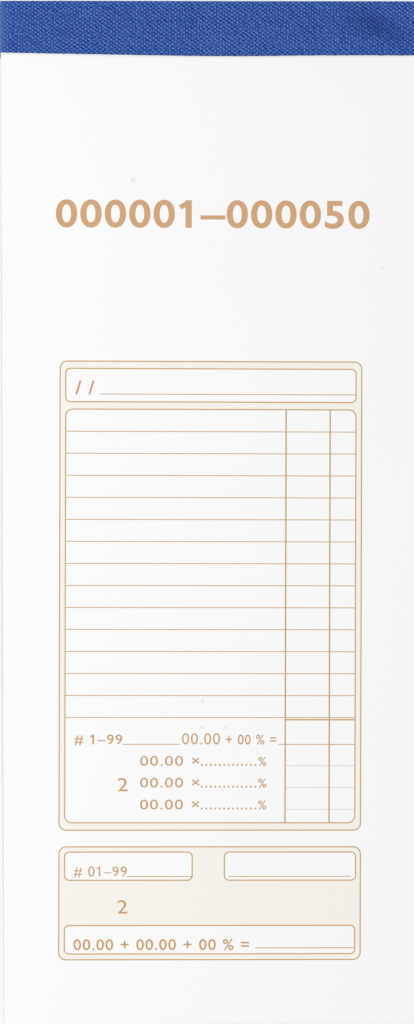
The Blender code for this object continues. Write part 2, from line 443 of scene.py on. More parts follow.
def make_ink_lay():
    """How evenly ink lies on paper: Cover is near 1, and lower where the tooth of the paper shows."""
    tree, given, results = start_group(
        "ink_lay", [("Vector", "NodeSocketVector"), ("Thinness", "NodeSocketFloat")], ["Cover"]
    )
    grain = noise(tree, given["Vector"], scale=4200.0, detail=3.0)
    patches = noise(tree, given["Vector"], scale=260.0)
    bare = math_node(tree, "MULTIPLY", math_node(tree, "ADD", grain, patches), given["Thinness"])
    tree.links.new(math_node(tree, "SUBTRACT", 1.0, bare), results["Cover"])
    return tree


PAPER_TOOTH = make_paper_tooth()
INK_LAY = make_ink_lay()
WHITE_PAPER = paint(248, 248, 248)


# Finishes of paper and ink
def paper_finish(
    name, colour, fibre_scale, contrast, speck_depth, tooth_depth, roughness, painted_cut_shade, specks=()
):
    """Uncoated white stock with a fine tooth, and cut edges that are darker than its faces: painted shade
    for the shadow in the gaps between sheets, deeper on the ledges that stick out of the stack.
    """
    material, tree, shader = start_material(name, roughness, specular=0.25)
    given = {"Fibre Scale": fibre_scale, "Contrast": contrast, "Speck Depth": speck_depth}
    given["Vector"] = object_place(tree)
    tooth = add(tree, "ShaderNodeGroup", given, node_tree=PAPER_TOOTH)
    # Painted shade: cut edges, and more so the ledges that stick out of the stack, are darkened for the
    # shadow between sheets.
    flat, face = sheet_faces(tree)
    ledge = math_node(tree, "SUBTRACT", 1.0, math_node(tree, "MULTIPLY", flat, 1.0 - PAINTED_LEDGE_SHADE))
    edge = math_node(tree, "MULTIPLY", edge_shade(tree, painted_cut_shade), ledge)
    shade = math_node(tree, "MAXIMUM", face, edge)
    tone = math_node(tree, "MULTIPLY", tooth.outputs["Tone"], shade)
    if specks:
        tone = math_node(tree, "MULTIPLY", tone, speck_tone(tree, specks))
    tree.links.new(tinted(tree, colour, tone), shader["Base Color"])
    matte = math_node(tree, "SUBTRACT", 1.0, math_node(tree, "MULTIPLY", face, 1.0 - roughness))
    tree.links.new(matte, shader["Roughness"])
    add_bump(tree, shader, tooth.outputs["Height"], tooth_depth)
    return material


def speck_tone(tree, specks):
    """The tone of paper with some grey specks, which are soft and uneven at their edges."""
    place = object_place(tree)
    uneven = add(tree, "ShaderNodeTexNoise", {"Vector": place, "Scale": 2200.0, "Detail": 2.0})
    ragged = add(tree, "ShaderNodeVectorMath", {}, operation="MULTIPLY_ADD")
    tree.links.new(uneven.outputs["Color"], ragged.inputs[0])
    ragged.inputs[1].default_value = (SPECK_RAGGED, SPECK_RAGGED, 0.0)
    tree.links.new(place, ragged.inputs[2])
    middle = SPECK_RAGGED / 2
    total = 0.0
    for x, y, reach, depth in specks:
        spot = soft_spot(
            tree, ragged.outputs["Vector"], x * MM + middle, y * MM + middle, reach * MM, reach * MM
        )
        total = math_node(tree, "ADD", math_node(tree, "MULTIPLY", spot, depth), total)
    return math_node(tree, "SUBTRACT", 1.0, total)


def sheet_faces(tree):
    """Two masks for the painted shade of cut edges: 1 on all that lies flat, and 1 on the flat faces that
    don't stick out of the stack.
    """
    facing = tree.nodes.new("ShaderNodeTexCoord").outputs["Normal"]
    upright = math_node(tree, "ABSOLUTE", along_axis(tree, facing, "Z"))
    aside = math_node(tree, "ABSOLUTE", along_axis(tree, object_place(tree), "X"))
    flat = math_node(tree, "GREATER_THAN", upright, FLAT_FACING)
    inside = math_node(tree, "LESS_THAN", aside, HALF_WIDTH - RIM)
    return flat, math_node(tree, "MULTIPLY", flat, inside)


def edge_shade(tree, shade):
    """The painted shade of cut edges, for the shadow in the gaps between sheets, which changes a little
    from sheet to sheet.
    """
    jogs = noise(tree, mapped(tree, object_place(tree), EDGE_LAYERS), scale=1.0)
    swing = math_node(tree, "MULTIPLY", jogs, EDGE_SWING)
    return math_node(tree, "ADD", swing, shade - EDGE_SWING / 2)


def ink_finish(name, colour, thinness):
    """Printing ink that lets a little of the paper show."""
    material, tree, shader = start_material(name, roughness=0.55, specular=0.25)
    given = {"Vector": object_place(tree), "Thinness": thinness}
    lay = add(tree, "ShaderNodeGroup", given, node_tree=INK_LAY)
    shown = mix_colours(tree, lay.outputs["Cover"], WHITE_PAPER, colour)
    tree.links.new(shown, shader["Base Color"])
    return material


# Finish of the binding cloth
def cloth_finish():
    """Blue plain-woven book cloth, lighter on the raised yarns as painted highlights, darker in the gaps
    and along its front edge as painted shade, paler at its left end, with one soft dark patch.
    """
    material, tree, shader = start_material("binding_cloth", roughness=0.8, specular=0.1)
    shader["Sheen Weight"].default_value = 0.03
    weave = add(tree, "ShaderNodeUVMap", {}, uv_map="yarns").outputs["UV"]
    fuzz = noise(tree, weave, scale=2.2)
    tone = weave_tone(tree, weave, fuzz)
    ramp = colour_ramp(tree, tone, dark=paint(7, 44, 114), light=paint(94, 127, 203))
    ramp.color_ramp.elements.new(0.5).color = paint(46, 82, 157)
    darkened = mix_colours(tree, smudge_mask(tree, weave), ramp.outputs["Color"], paint(30, 42, 112))
    # Painted shade, darker and greyer, along the cut front edge of the cloth.
    front_shade = fade(tree, along_axis(tree, weave, "Y"), FRONT_SHADE_STARTS, FRONT_SHADE_ENDS, 0.0, FRONT_SHADE_FADE)
    front_shaded = mix_colours(tree, front_shade, darkened, paint(70, 86, 130))
    # The cloth turns paler towards its left end.
    aside = along_axis(tree, object_place(tree), "X")
    paler_end = fade(tree, aside, PALER_END_REACH - HALF_WIDTH, -HALF_WIDTH, 0.0, PALER_END_SHARE, "LINEAR")
    shown = mix_colours(tree, paler_end, front_shaded, paint(88, 116, 176))
    tree.links.new(shown, shader["Base Color"])
    add_bump(tree, shader, fuzz, FUZZ_DEPTH)
    return material


def weave_tone(tree, weave, fuzz):
    """The tone of the cloth, from painted highlights on its crossings, painted shade in its gaps, its
    flecks of fibre and its uneven yarns.
    """
    warp = along_axis(tree, weave, "X")
    weft = along_axis(tree, weave, "Y")
    turn_across = math_node(tree, "MULTIPLY", warp, math.pi)
    turn_along = math_node(tree, "MULTIPLY", weft, math.pi)
    # Painted highlights on the yarn crossings, slanted a little with the twist of the yarns, and painted
    # shade in the gaps between yarns.
    sines = [math_node(tree, "SINE", turn) for turn in (turn_across, turn_along)]
    over = math_node(tree, "MULTIPLY", *sines)
    slant = math_node(tree, "COSINE", math_node(tree, "ADD", turn_across, turn_along))
    gaps = math_node(tree, "COSINE", math_node(tree, "MULTIPLY", turn_across, 2.0))
    crossings = add(tree, "ShaderNodeVectorMath", {}, operation="FLOOR")
    tree.links.new(weave, crossings.inputs[0])
    counted = {"Vector": crossings.outputs["Vector"]}
    knots = add(tree, "ShaderNodeTexWhiteNoise", counted, noise_dimensions="2D")
    knot = math_node(tree, "SUBTRACT", knots.outputs["Value"], 0.5)
    uneven = math_node(tree, "MULTIPLY", over, knot)
    flecks = [fleck_tone(tree, weave, *shift) for shift in ((0.0, 0.0), FLECK_SHIFT)]
    fleck = math_node(tree, "SUBTRACT", *flecks)
    level_parts = [
        (over, PAINTED_HIGHLIGHT_SHARE),
        (slant, PAINTED_SLANT_SHARE),
        (gaps, PAINTED_GAP_SHADE_SHARE),
        (uneven, KNOT_SHARE),
        (fleck, FLECK_SHARE),
    ]
    raised_parts = [
        (yarn_tone(tree, warp, 0.0), YARN_SHARE),
        (yarn_tone(tree, weft, WEFT_START), YARN_SHARE),
        (fuzz, FUZZ_SHARE),
        (noise(tree, weave, scale=0.07), CLOUD_SHARE),
    ]
    return weigh(tree, level_parts, raised_parts)


def fleck_tone(tree, weave, shift_across, shift_along):
    """Random tones of tiny flecks of fibre, finer than a yarn."""
    fine = mapped(tree, weave, FLECK_SCALE, (shift_across, shift_along, 0.0))
    return along_axis(tree, random_cells(tree, fine, scale=1.0).outputs["Color"], "X")


def yarn_tone(tree, count, start):
    """A steady random tone for each yarn."""
    number = math_node(tree, "FLOOR", math_node(tree, "ADD", count, start))
    made = add(tree, "ShaderNodeTexWhiteNoise", {"W": number}, noise_dimensions="1D")
    return made.outputs["Value"]


def smudge_mask(tree, weave):
    """A soft slanting darker patch on the front of the cloth."""
    rough = noise(tree, weave, scale=0.25, detail=3.0)
    spot = soft_spot(
        tree, object_place(tree), DARK_PATCH_X, DARK_PATCH_Y, DARK_PATCH_LENGTH, DARK_PATCH_WIDTH, DARK_PATCH_TURN
    )
    return math_node(tree, "MULTIPLY", spot, math_node(tree, "MULTIPLY", rough, DARK_PATCH_DEPTH))


# Finishes of board and wire
def chipboard_finish():
    """Grey board pressed from waste paper, with pale and dark fibres."""
    material, tree, shader = start_material("grey_chipboard", roughness=0.9, specular=0.15)
    place = object_place(tree)
    pulp = noise(tree, place, scale=900.0, detail=5.0)
    fibre = noise(tree, mapped(tree, place, BOARD_FIBRES), scale=1.0)
    tone = weigh(tree, [], [(pulp, PULP_SHARE), (fibre, FIBRE_SHARE)])
    ramp = colour_ramp(tree, tone, dark=paint(118, 112, 102), light=paint(178, 171, 159))
    tree.links.new(ramp.outputs["Color"], shader["Base Color"])
    add_bump(tree, shader, tone, PULP_DEPTH)
    return material


def wire_finish():
    """Galvanised staple wire with fine drawing lines."""
    smooth, rough = 0.25, 0.45
    material, tree, shader = start_material("staple_wire", roughness=(smooth + rough) / 2, specular=0.5)
    shader["Metallic"].default_value = 1.0
    drawn = noise(tree, object_place(tree), scale=5000.0)
    shown = mix_colours(tree, drawn, paint(172, 174, 176), paint(205, 206, 207))
    tree.links.new(shown, shader["Base Color"])
    lines = math_node(tree, "ADD", math_node(tree, "MULTIPLY", drawn, rough - smooth), smooth)
    tree.links.new(lines, shader["Roughness"])
    return material


CLOTH = cloth_finish()
COVER_CARD = paper_finish(
    "cover_card",
    WHITE_PAPER,
    fibre_scale=2600.0,
    contrast=0.012,
    speck_depth=0.1,
    tooth_depth=0.012 * MM,
    roughness=0.6,
    painted_cut_shade=0.9,
    specks=COVER_SPECKS,
)
CHECK_PAPER = paper_finish(
    "check_paper",
    paint(246, 246, 244),
    fibre_scale=3400.0,
    contrast=0.02,
    speck_depth=0.08,
    tooth_depth=0.01 * MM,
    roughness=0.75,
    painted_cut_shade=0.93,
)
TITLE_INK = ink_finish("copper_title_ink", paint(205, 159, 113), thinness=0.04)
RULE_INK = ink_finish("copper_rule_ink", paint(196, 150, 80), thinness=0.05)
TINT_INK = ink_finish("pale_tint_ink", paint(244, 240, 233), thinness=0.1)
FAINT_INK = ink_finish("faint_grey_ink", paint(194, 193, 189), thinness=0.05)
SIGN_INK = ink_finish("copper_sign_ink", paint(198, 145, 78), thinness=0.05)
CHIPBOARD = chipboard_finish()
STAPLE_WIRE = wire_finish()
INKS = (TITLE_INK, RULE_INK, TINT_INK, FAINT_INK, SIGN_INK)
TITLE, RULE, TINT, FAINT, SIGN = range(len(INKS))


# Binding cloth
FRONT_RUN = tape_high.y - TAPE_CORNER - FOLD_LINE
CORNER_RUN = TAPE_CORNER * math.pi / 2
SPINE_RUN = tape_high.z - tape_low.z - 2 * TAPE_CORNER
TAPE_RUN = 2 * FRONT_RUN + 2 * CORNER_RUN + SPINE_RUN


def tape_point(run, depth):
    """The y and z of a point of the tape, by its run from the front edge and its depth under the face."""
    far = tape_high.y - TAPE_CORNER
    top = tape_high.z - TAPE_CORNER
    bottom = tape_low.z + TAPE_CORNER
    reach = TAPE_CORNER - depth
    if run <= FRONT_RUN:
        return FOLD_LINE + run, tape_high.z - depth
    run -= FRONT_RUN
    if run <= CORNER_RUN:
        turn = run / TAPE_CORNER
        return far + reach * math.sin(turn), top + reach * math.cos(turn)
    run -= CORNER_RUN
    if run <= SPINE_RUN:
        return tape_high.y - depth, top - run
    run -= SPINE_RUN
    if run <= CORNER_RUN:
        turn = run / TAPE_CORNER
        return far + reach * math.cos(turn), bottom - reach * math.sin(turn)
    return far - (run - CORNER_RUN), tape_low.z + depth


def weave_depth(across, along):
    """How far the face of the cloth lies under its highest yarns, at a place counted in yarns."""
    crossing = math.sin(math.pi * across) * math.sin(math.pi * along)
    height = abs(crossing) ** YARN_ROUNDNESS
    if crossing < 0:
        height *= UNDER_YARN_SHARE
    return WEAVE_RELIEF * (1 - height)


def yarn_wander(x, run):
    """How far the yarns drift from straight lines."""
    slow = math.sin(x / LONG_WANDER[0] + run / LONG_WANDER[1])
    quick = math.sin(x / SHORT_WANDER[0] - run / SHORT_WANDER[1] + WANDER_SHIFT)
    return YARN_WANDER * (slow + quick) / 2


def tape_setback(x):
    """How far the crooked front edge of the cloth lies back from its longest place."""
    away = x - TAPE_LONGEST
    spread = math.hypot(away, TAPE_EDGE_ROUND) - TAPE_EDGE_ROUND
    if away < 0:
        return LEFT_SLANT * spread
    return min(RIGHT_SLANT * spread, RIGHT_SETBACK)


def thread_ends(dice, count):
    """How far each thread sticks out at a cut edge of the cloth."""
    return [dice.uniform(SHORTEST_THREAD, 1.0) * THREAD_END for _ in range(count)]


def make_binding_cloth():
    """The cloth tape: one woven strip folded over the bound edge, with cut thread ends at both wings."""
    yarns_across = round(2 * HALF_WIDTH / YARN_ACROSS)
    yarns_along = round(TAPE_RUN / YARN_ALONG)
    columns = yarns_across * POINTS_ACROSS_YARN
    rows = yarns_along * POINTS_ALONG_YARN
    shape = bmesh.new()
    bmesh.ops.create_grid(shape, x_segments=columns, y_segments=rows, size=0.5)
    layer = shape.loops.layers.uv.new("yarns")
    counts = {}
    for vert in shape.verts:
        counts[vert] = ((vert.co.x + 0.5) * yarns_across, (vert.co.y + 0.5) * yarns_along)
    for face in shape.faces:
        face.smooth = True
        for loop in face.loops:
            loop[layer].uv = counts[loop.vert]
    dice = random.Random(THREAD_SEED)
    front_ends = thread_ends(dice, yarns_across + 1)
    back_ends = thread_ends(dice, yarns_across + 1)
    runs = {}
    for vert, (across, along) in counts.items():
        x = HALF_WIDTH - (2 * HALF_WIDTH + TAPE_OVERHANG) * (1 - across / yarns_across)
        run = along / yarns_along * TAPE_RUN
        crown = math.sin(math.pi * (across % 1.0))
        drift = yarn_wander(x, run) * min(1.0, max(0.0, (HALF_WIDTH - abs(x)) / STEADY_END))
        run += tape_setback(x) * (1 - run / TAPE_RUN)
        if along < END_ROW:
            run -= front_ends[int(across)] * crown
        if along > yarns_along - END_ROW:
            run += back_ends[int(across)] * crown
        runs[vert] = run
        y, z = tape_point(run, weave_depth(across, along))
        vert.co = (x + drift, y, z)
    close_tape(shape, counts, runs)
    return place_piece("binding_cloth", shape, CLOTH)


def close_tape(shape, counts, runs):
    """Gives the folded cloth the walls of its cut edges and its inner face, in strips along the fold."""
    rim = [edge for edge in shape.edges if edge.is_boundary]
    lines = {}
    for vert in points(bmesh.ops.extrude_edge_only(shape, edges=rim)):
        outer = next(e.other_vert(vert) for e in vert.link_edges if e.other_vert(vert) in counts)
        across, along = counts[outer]
        y, z = tape_point(runs[outer], TAPE_THICKNESS)
        vert.co = (outer.co.x, y, z)
        lines.setdefault(round(along * POINTS_ALONG_YARN), []).append((across, vert))
    strips = [
        [vert for _, vert in sorted(lines[row], key=lambda pair: pair[0])] for row in sorted(lines)
    ]
    for first, second in zip(strips, strips[1:]):
        shape.faces.new(first + second[::-1])
    bmesh.ops.recalc_face_normals(shape, faces=shape.faces)


binding_cloth = make_binding_cloth()
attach(binding_cloth, "pad")
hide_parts("binding_tape")


# Front cover
def cover_rise(y):
    """How far the cover springs up from the block, away from the binding."""
    share = min(1.0, max(0.0, (FOLD_LINE - y) / COVER_LIFT_RUN))
    return COVER_LIFT * share * share * (3 - 2 * share)


def make_cover_sheet():
    """The card cover: one sheet from the free end to the spine, creased along the tape."""
    crease = FOLD_LINE - FOLD_RUN
    flat_end = FOLD_LINE - COVER_LIFT_RUN
    stops = [FREE_END + (flat_end - FREE_END) * step / FLAT_STEPS for step in range(FLAT_STEPS)]
    stops += [flat_end + (crease - flat_end) * step / LIFT_STEPS for step in range(LIFT_STEPS)]
    stops += [crease + FOLD_RUN * step / FOLD_STEPS for step in range(FOLD_STEPS + 1)]
    stops += [(FOLD_LINE + SHEET_TOP) / 2, SHEET_TOP]
    shape = bmesh.new()
    line = [shape.verts.new((-HALF_WIDTH, y, cover_low.z + cover_rise(y))) for y in stops]
    edges = [shape.edges.new(pair) for pair in zip(line, line[1:])]
    swept = points(bmesh.ops.extrude_edge_only(shape, edges=edges))
    bmesh.ops.translate(shape, verts=swept, vec=(2 * HALF_WIDTH, 0, 0))
    thicken(shape, cover_high.z - cover_low.z)
    sharp = [e for e in shape.edges if len(e.link_faces) == 2 and e.calc_face_angle() > SHARP_TURN]
    ease(shape, sharp, EDGE_EASE)
    return place_piece("cover_sheet", shape, COVER_CARD)


cover_sheet = make_cover_sheet()
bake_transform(cover_sheet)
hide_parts("front_cover", "cover_bound_strip")


# Printing, drawn in millimetres and then set on its sheet
def ink_all(verts, ink):
    """Gives the faces round some points their ink."""
    for face in {f for v in verts for f in v.link_faces}:
        face.material_index = ink


def bar(shape, left, bottom, right, top, height, ink):
    """A straight printed bar."""
    size = Matrix.Diagonal((right - left, top - bottom, height, 1))
    middle = Matrix.Translation(((left + right) / 2, (bottom + top) / 2, height / 2))
    ink_all(bmesh.ops.create_cube(shape, size=1, matrix=middle @ size)["verts"], ink)


def rule(shape, left, right, y, width, height, ink=RULE):
    """A printed line across the form."""
    bar(shape, left, y - width / 2, right, y + width / 2, height * RULE_SHARE, ink)


def column(shape, x, bottom, top, width, height):
    """A printed line down the form."""
    bar(shape, x - width / 2, bottom, x + width / 2, top, height * COLUMN_SHARE, RULE)


def rounded_box(shape, left, bottom, right, top, radius):
    """The only face of a drawing: a flat box with round corners."""
    size = Matrix.Diagonal((right - left, top - bottom, 1, 1))
    middle = Matrix.Translation(((left + right) / 2, (bottom + top) / 2, 0))
    box = bmesh.ops.create_grid(shape, x_segments=1, y_segments=1, size=0.5, matrix=middle @ size)
    bmesh.ops.bevel(
        shape,
        geom=box["verts"],
        offset=radius,
        offset_type="OFFSET",
        affect="VERTICES",
        segments=CORNER_STEPS,
        profile=0.5,
        material=-1,
    )
    (face,) = shape.faces
    return face


def outline(shape, left, bottom, right, top, radius, width, height):
    """A printed frame with round corners, centred on the box's edge."""
    half = width / 2
    drawn = bmesh.new()
    face = rounded_box(drawn, left - half, bottom - half, right + half, top + half, radius + half)
    bmesh.ops.inset_region(drawn, faces=[face], thickness=width, use_boundary=True, use_even_offset=True)
    bmesh.ops.delete(drawn, geom=[face], context="FACES")
    ink_all(raise_faces(drawn, height), RULE)
    join(shape, drawn)


def tint_panel(shape, outer, holes, height):
    """A pale printed ground inside a frame, left open where the fields are."""
    drawn = bmesh.new()
    for box in (outer, *holes):
        face = rounded_box(drawn, *box)
        bmesh.ops.delete(drawn, geom=[face], context="FACES_ONLY")
    bmesh.ops.triangle_fill(drawn, edges=drawn.edges[:], use_beauty=True, normal=(0, 0, 1))
    ink_all(raise_faces(drawn, height), TINT)
    join(shape, drawn)


def join(shape, drawn):
    """Adds a finished drawing to a larger one."""
    bmesh.ops.recalc_face_normals(drawn, faces=drawn.faces)
    mesh = bpy.data.meshes.new("drawn")
    drawn.to_mesh(mesh)
    drawn.free()
    shape.from_mesh(mesh)
    bpy.data.meshes.remove(mesh)


def plain_signs(signs, height):
    """A drawing of numbers and signs, half above and half below its plane."""
    words = bpy.data.curves.new("numerals", "FONT")
    words.body = signs.text
    words.size = signs.tall / DIGIT_SHARE
    words.offset = signs.weight
    words.space_character = SIGN_SPACING
    words.extrude = height / 2
    words.resolution_u = SIGN_CURVE_STEPS
    holder = new_object("numerals", words)
    evaluated = holder.evaluated_get(bpy.context.evaluated_depsgraph_get())
    mesh = bpy.data.meshes.new_from_object(evaluated)
    drawn = bmesh.new()
    drawn.from_mesh(mesh)
    bpy.data.objects.remove(holder)
    bpy.data.curves.remove(words)
    bpy.data.meshes.remove(mesh)
    bmesh.ops.remove_doubles(drawn, verts=drawn.verts, dist=SIGN_MERGE)
    flat = [face for face in drawn.faces if lies_flat(face)]
    inner = [edge for edge in drawn.edges if all(lies_flat(face) for face in edge.link_faces)]
    bmesh.ops.beautify_fill(drawn, faces=flat, edges=inner, method="ANGLE")
    return drawn


def lies_flat(face):
    """Whether a face is on the upper or the under side of a drawing that its plane cuts in half."""
    return len({vert.co.z > 0 for vert in face.verts}) == 1


def ends(drawn):
    """The left and right end of a drawing."""
    places = [v.co.x for v in drawn.verts]
    return min(places), max(places)


def sign_ends(signs, text, height):
    """The left and right end of some text in the style of some signs, before it is spread."""
    drawn = plain_signs(signs._replace(text=text), height)
    left, right = ends(drawn)
    drawn.free()
    return left, right


def flag_ones(drawn, signs, height):
    """Gives each 1, which is a bare upright in this lettering, the slanting flag of a printed number."""
    bare_left, bare_right = sign_ends(signs, "1", height)
    stem = bare_right - bare_left
    length = FLAG_LENGTH * signs.tall
    thick = FLAG_THICKNESS * stem
    turn = Matrix.Rotation(FLAG_TURN, 4, "Z")
    size = Matrix.Diagonal((length, thick, FLAG_SHARE * height, 1))
    for place, sign in enumerate(signs.text):
        if sign == "1":
            right = sign_ends(signs, signs.text[: place + 1], height)[1]
            x = right - stem / 2 - math.cos(FLAG_TURN) * length / 2
            y = signs.tall + signs.weight - thick / 2 - math.sin(FLAG_TURN) * length / 2
            bmesh.ops.create_cube(drawn, size=1, matrix=Matrix.Translation((x, y, 0)) @ turn @ size)


def numerals(shape, signs, bottom, height, ink=SIGN):
    """Prints numbers and signs on a base line, spread up to their right end if they have one."""
    drawn = plain_signs(signs, height)
    flag_ones(drawn, signs, height)
    first, last = ends(drawn)
    spread = NUMBER_SPREAD if signs.right is None else (signs.right - signs.left) / (last - first)
    bmesh.ops.translate(drawn, verts=drawn.verts, vec=(-first, 0, height / 2))
    bmesh.ops.scale(drawn, verts=drawn.verts, vec=(spread, 1, 1))
    bmesh.ops.translate(drawn, verts=drawn.verts, vec=(signs.left, bottom, 0))
    ink_all(drawn.verts, ink)
    join(shape, drawn)


def check_number(shape, number, bottom, height):
    """The number of a check."""
    signs = Signs(str(number), NUMBER_LEFT, None, NUMBER_TALL, NUMBER_WEIGHT)
    numerals(shape, signs, bottom, height)


def leader(shape, y, height):
    """A dotted line to write a rate on."""
    for number in range(LEADER_DOTS):
        x = LEADER_LEFT + (LEADER_RIGHT - LEADER_LEFT) * number / (LEADER_DOTS - 1)
        bar(shape, x - DOT_SIZE / 2, y, x + DOT_SIZE / 2, y + DOT_SIZE, height, SIGN)


def draw_check(shape, number, height):
    """The main form: a date box over a ruled table with two narrow columns and a block for the sum."""
    date_box = (BOX_LEFT, DATE_BOTTOM, BOX_RIGHT, DATE_TOP, BOX_RADIUS)
    table = (BOX_LEFT, TABLE_BOTTOM, BOX_RIGHT, TABLE_TOP, TABLE_RADIUS)
    whole = (FRAME_LEFT, FRAME_BOTTOM, FRAME_RIGHT, FRAME_TOP, OUTER_RADIUS)
    tint_panel(shape, whole, (date_box, table), height * TINT_SHARE)
    for box in (whole, date_box, table):
        outline(shape, *box, FRAME_LINE, height)
    numerals(shape, DATE_SIGNS, DATE_RULE, height)
    rule(shape, DATE_RULE_LEFT, BOX_RIGHT, DATE_RULE, ROW_LINE, height)
    for row in range(ROW_COUNT):
        rule(shape, BOX_LEFT, BOX_RIGHT, FIRST_ROW - row * ROW_PITCH, ROW_LINE, height)
    for x in (MONEY_COLUMN, CENTS_COLUMN):
        column(shape, x, TABLE_BOTTOM, TABLE_TOP, COLUMN_LINE, height)
    rule(shape, MONEY_COLUMN, BOX_RIGHT, SUM_TOP, COLUMN_LINE, height)
    numerals(shape, TABLE_SIGNS, SUM_RULE, height)
    rule(shape, TABLE_RULE_LEFT, TABLE_RULE_RIGHT, SUM_RULE, ROW_LINE, height)
    numerals(shape, SUM_SIGNS, SUM_RULE, height)
    numerals(shape, SUM_RATE_SIGNS, SUM_RULE, height)
    rule(shape, SUM_RULE_LEFT, BOX_RIGHT, SUM_RULE, ROW_LINE, height)
    for y in RATE_RULES:
        numerals(shape, RATE_SIGNS, y, height)
        leader(shape, y, height)
        numerals(shape, PERCENT_SIGN, y, height)
        rule(shape, MONEY_COLUMN, BOX_RIGHT, y, FAINT_LINE, height, FAINT)
    check_number(shape, number, CHECK_NUMBER_BASE, height)


def draw_coupon(shape, number, height):
    """The smaller form under the second perforation, which repeats the table and the sum."""
    whole = (FRAME_LEFT, COUPON_BOTTOM, FRAME_RIGHT, COUPON_TOP, OUTER_RADIUS)
    left_field = (BOX_LEFT, FIELD_BOTTOM, FIELD_SPLIT_LEFT, FIELD_TOP, BOX_RADIUS)
    right_field = (FIELD_SPLIT_RIGHT, FIELD_BOTTOM, FIELD_RIGHT, FIELD_TOP, BOX_RADIUS)
    sum_field = (BOX_LEFT, SUM_FIELD_BOTTOM, SUM_FIELD_RIGHT, SUM_FIELD_TOP, BOX_RADIUS)
    tint_panel(shape, whole, (left_field, right_field, sum_field), height * TINT_SHARE)
    for box in (whole, left_field, right_field, sum_field):
        outline(shape, *box, FRAME_LINE, height)
    numerals(shape, COUPON_TABLE_SIGNS, FIELD_RULE, height)
    rule(shape, FIELD_RULE_LEFT, FIELD_SPLIT_LEFT, FIELD_RULE, ROW_LINE, height)
    rule(shape, EMPTY_RULE_LEFT, EMPTY_RULE_RIGHT, FIELD_RULE, ROW_LINE, height)
    numerals(shape, COUPON_SUM_SIGNS, SUM_FIELD_RULE - SUM_SIGNS_DROP, height)
    rule(shape, SUM_FIELD_RULE_LEFT, SUM_FIELD_RIGHT, SUM_FIELD_RULE, ROW_LINE, height)
    check_number(shape, number, COUPON_NUMBER_BASE, height)


def draw_title(shape, height):
    """The numbers of the first and last check, printed large on the cover."""
    numerals(shape, TITLE_SIGNS, TITLE_BASE, height, TITLE)


def make_print(name, level, thickness, drawings):
    """Draws a sheet's printing and sets it on the sheet's face, a little askew, as the press left it."""
    shape = bmesh.new()
    for draw, details in drawings:
        draw(shape, *details, thickness / MM)
    turn = Matrix.Rotation(FORM_SKEW, 4, "Z")
    shift = Matrix.Translation((FORM_OFFSET[0] * MM, FORM_OFFSET[1] * MM, level))
    shape.transform(shift @ turn @ Matrix.Scale(MM, 4))
    return place_piece(name, shape, *INKS)


cover_print = make_print(
    "cover_print",
    cover_high.z + COVER_LIFT,
    COVER_PRINT,
    [(draw_title, ()), (draw_check, (COVER_NUMBER,)), (draw_coupon, (COVER_NUMBER,))],
)
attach(cover_print, "cover")


# Checks
PERFORATION_HALF = (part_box("check_01_stub")[0].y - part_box("check_01")[1].y) / 2 - TORN_GAP
COUPON_LINE = (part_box("check_01")[0].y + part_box("check_01_coupon")[1].y) / 2
TEAR_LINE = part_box("check_01_stub")[0].y - PERFORATION_HALF - TORN_GAP


def add_leaf(shape, low, high, rows):
    """One sheet of paper. Each row gives where it ends and whether it is cut through between ties."""
    stops = [low.y] + [end for end, _ in rows]
    leaf = bmesh.new()
    bmesh.ops.create_grid(leaf, x_segments=PERFORATION_COLUMNS, y_segments=len(rows), size=0.5)
    cut = []
    for face in leaf.faces:
        middle = face.calc_center_median()
        row = int((middle.y + 0.5) * len(rows))
        tie = int((middle.x + 0.5) * PERFORATION_COLUMNS) % TIE_EVERY == 0
        if rows[row][1] and not tie:
            cut.append(face)
    for vert in leaf.verts:
        row = round((vert.co.y + 0.5) * len(rows))
        vert.co = (2 * vert.co.x * HALF_WIDTH, stops[row], low.z)
    bmesh.ops.delete(leaf, geom=cut, context="FACES")
    thicken(leaf, high.z - low.z - CHECK_PRINT)
    join(shape, leaf)


def add_bowed_leaf(shape, low, high, drift, bow):
    """A plain sheet from inside the block, whose long edges bow to the left as the knife left them."""
    leaf = bmesh.new()
    bmesh.ops.create_grid(leaf, x_segments=1, y_segments=BOW_STEPS, size=0.5)
    for vert in leaf.verts:
        up = vert.co.y + 0.5
        aside = bow * math.sin(math.pi * (1 - up) ** BOW_LEAN)
        x = 2 * vert.co.x * HALF_WIDTH + drift[0] - aside
        vert.co = (x, low.y + (high.y - low.y) * up + drift[1], low.z)
    thicken(leaf, high.z - low.z)
    join(shape, leaf)


def tie_rows(node, below, above):
    """The rows of a sheet that was cut at its perforation: torn ties stand at the ends that part."""
    low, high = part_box(node)
    rows = [(high.y, False)]
    if below:
        rows.insert(0, (low.y, True))
        low = Vector((low.x, low.y - PERFORATION_HALF, low.z))
    if above:
        rows.append((high.y + PERFORATION_HALF, True))
    return low, high, rows


def slit_rows(low, high, lines):
    """The rows of a sheet with whole perforations across it at the given lines."""
    rows = []
    for line in lines:
        rows += [(line - PERFORATION_HALF, False), (line + PERFORATION_HALF, True)]
    return low, high, rows + [(high.y, False)]


def make_torn_sheet(node, body, drawings, slits, below):
    """A sheet that tears off at its top, with its printing and with whole perforations at its slits."""
    shape = bmesh.new()
    low, high, rows = tie_rows(node, below=below, above=True)
    if slits:
        rows = slit_rows(low, high, slits)[2] + rows[1:]
    add_leaf(shape, low, high, rows)
    sheet = place_piece(f"{node}_sheet", shape, CHECK_PAPER)
    printing = make_print(f"{node}_print", high.z - CHECK_PRINT, CHECK_PRINT, drawings)
    for piece in (sheet, printing):
        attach(piece, body)
    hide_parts(node)


def make_check(number):
    """A check that tears off. The first one's coupon is a sheet of its own."""
    drawings = [(draw_check, (number,))]
    slits = []
    if number > 1:
        drawings.append((draw_coupon, (number,)))
        slits.append(COUPON_LINE)
    make_torn_sheet(f"check_{number:02d}", f"check_{number}", drawings, slits, below=number == 1)


